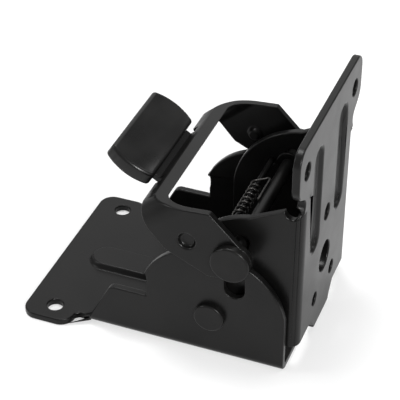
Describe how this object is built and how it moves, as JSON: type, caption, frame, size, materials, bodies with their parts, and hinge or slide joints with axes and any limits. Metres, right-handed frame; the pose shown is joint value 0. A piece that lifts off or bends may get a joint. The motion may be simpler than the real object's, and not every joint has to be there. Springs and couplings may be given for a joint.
{
  "type": "folding table leg bracket",
  "caption": "Folding bracket that joins a table leg to a table top: a base plate with notched cheeks, a swinging leg plate, a sprung lock pin and a release lever.",
  "frame": {"origin": "on the table face, straight below the pivot axis, midway between the cheeks", "axes": "+Z away from the table face, +X towards the leg plate, +Y along the pivot pin"},
  "size_m": [0.0942, 0.0706, 0.085],
  "materials": {
    "black_steel": "satin black powder coat",
    "black_rivet": "satin black plated",
    "spring_wire": "oiled black spring wire",
    "grip_plastic": "fine-textured black plastic"
  },
  "bodies": {
    "base": {"base_bracket": "black_steel", "pivot_pin": "black_rivet", "washer_near": "black_rivet", "washer_far": "black_rivet"},
    "leg": {"leg_bracket": "black_steel", "spring_bar": "spring_wire", "lock_spring": "spring_wire"},
    "lock": {"lock_pin": "black_rivet", "collar_near": "black_rivet", "collar_far": "black_rivet"},
    "lever": {"lever_yoke": "black_steel", "grip": "grip_plastic"}
  },
  "joints": [
    {"name": "leg_fold", "type": "hinge", "parent": "base", "child": "leg", "pos_m": [0, 0, 0.017], "axis": [0, -1, 0], "range_deg": [0, 90]},
    {"name": "lock_slide", "type": "slide", "parent": "leg", "child": "lock", "axis": [0.2874, 0, 0.9578], "range_m": [-0.00185, 0.0015], "deforming": ["lock_spring"]},
    {"name": "lever_swing", "type": "hinge", "parent": "lock", "child": "lever", "pos_m": [0.00789, 0, 0.04329], "axis": [0, -1, 0], "range_deg": [-53, 0]}
  ],
  "couplings": [
    {"joint": "lever_swing", "follows": "leg_fold", "ratio": -0.58}
  ]
}
